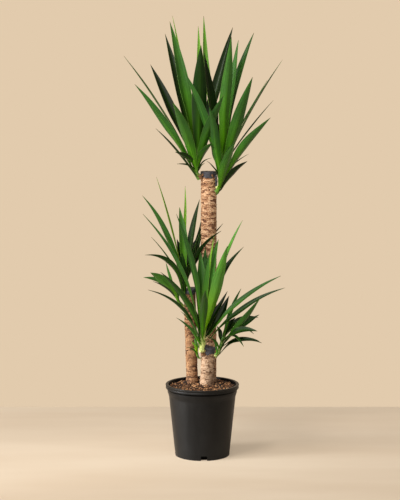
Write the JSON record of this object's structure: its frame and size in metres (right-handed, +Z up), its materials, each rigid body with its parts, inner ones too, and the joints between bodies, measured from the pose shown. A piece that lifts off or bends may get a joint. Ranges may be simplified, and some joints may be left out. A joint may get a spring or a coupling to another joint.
{
  "type": "potted yucca",
  "caption": "Tall house plant: bark-covered canes with wax-sealed tops, side shoots and rosettes of sword-shaped leaves, standing in a round nursery pot of soil.",
  "frame": {"origin": "middle of the pot's underside, on the surface that the pot stands on", "axes": "+Z up the plant, -Y towards whoever looks at its front, +X to the right"},
  "size_m": [0.5952, 0.4902, 1.6351],
  "materials": {
    "pot_plastic": "matt charcoal black moulded plastic",
    "soil": "loose bark chips and peat",
    "bark": "rough flaking bark with rings of leaf scars",
    "sealing_wax": "dull dark wax",
    "stem": "young pale green stem",
    "leaf": "satin dark green leaf with fine lengthwise veins"
  },
  "bodies": {
    "root": {"cane_medium": "bark", "cane_short": "bark", "cane_tall": "bark", "leaf_medium_left_01": "leaf", "leaf_medium_left_02": "leaf", "leaf_medium_top_01": "leaf", "leaf_medium_top_02": "leaf", "leaf_medium_top_03": "leaf", "leaf_medium_top_04": "leaf", "leaf_medium_top_05": "leaf", "leaf_medium_top_06": "leaf", "leaf_short_left_01": "leaf", "leaf_short_left_02": "leaf", "leaf_short_left_03": "leaf", "leaf_short_left_04": "leaf", "leaf_short_left_05": "leaf", "leaf_short_left_06": "leaf", "leaf_short_left_07": "leaf", "leaf_short_left_08": "leaf", "leaf_short_left_09": "leaf", "leaf_short_right_01": "leaf", "leaf_short_right_02": "leaf", "leaf_short_right_03": "leaf", "leaf_short_right_04": "leaf", "leaf_tall_left_01": "leaf", "leaf_tall_left_02": "leaf", "leaf_tall_left_03": "leaf", "leaf_tall_left_04": "leaf", "leaf_tall_left_05": "leaf", "leaf_tall_left_06": "leaf", "leaf_tall_left_07": "leaf", "leaf_tall_left_08": "leaf", "leaf_tall_left_09": "leaf", "leaf_tall_left_10": "leaf", "leaf_tall_left_11": "leaf", "leaf_tall_left_12": "leaf", "leaf_tall_right_01": "leaf", "leaf_tall_right_02": "leaf", "leaf_tall_right_03": "leaf", "leaf_tall_right_04": "leaf", "leaf_tall_right_05": "leaf", "leaf_tall_right_06": "leaf", "leaf_tall_right_07": "leaf", "leaf_tall_right_08": "leaf", "leaf_tall_right_09": "leaf", "leaf_tall_right_10": "leaf", "leaf_tall_right_11": "leaf", "leaf_tall_right_12": "leaf", "pot": "pot_plastic", "potting_soil": "soil", "shoot_medium_left": "stem", "shoot_medium_top": "stem", "shoot_short_left": "stem", "shoot_short_low": "stem", "shoot_short_right": "stem", "shoot_tall_left": "stem", "shoot_tall_right": "stem", "wax_cap_medium": "sealing_wax", "wax_cap_short": "sealing_wax", "wax_cap_tall": "sealing_wax"}
  },
  "joints": []
}
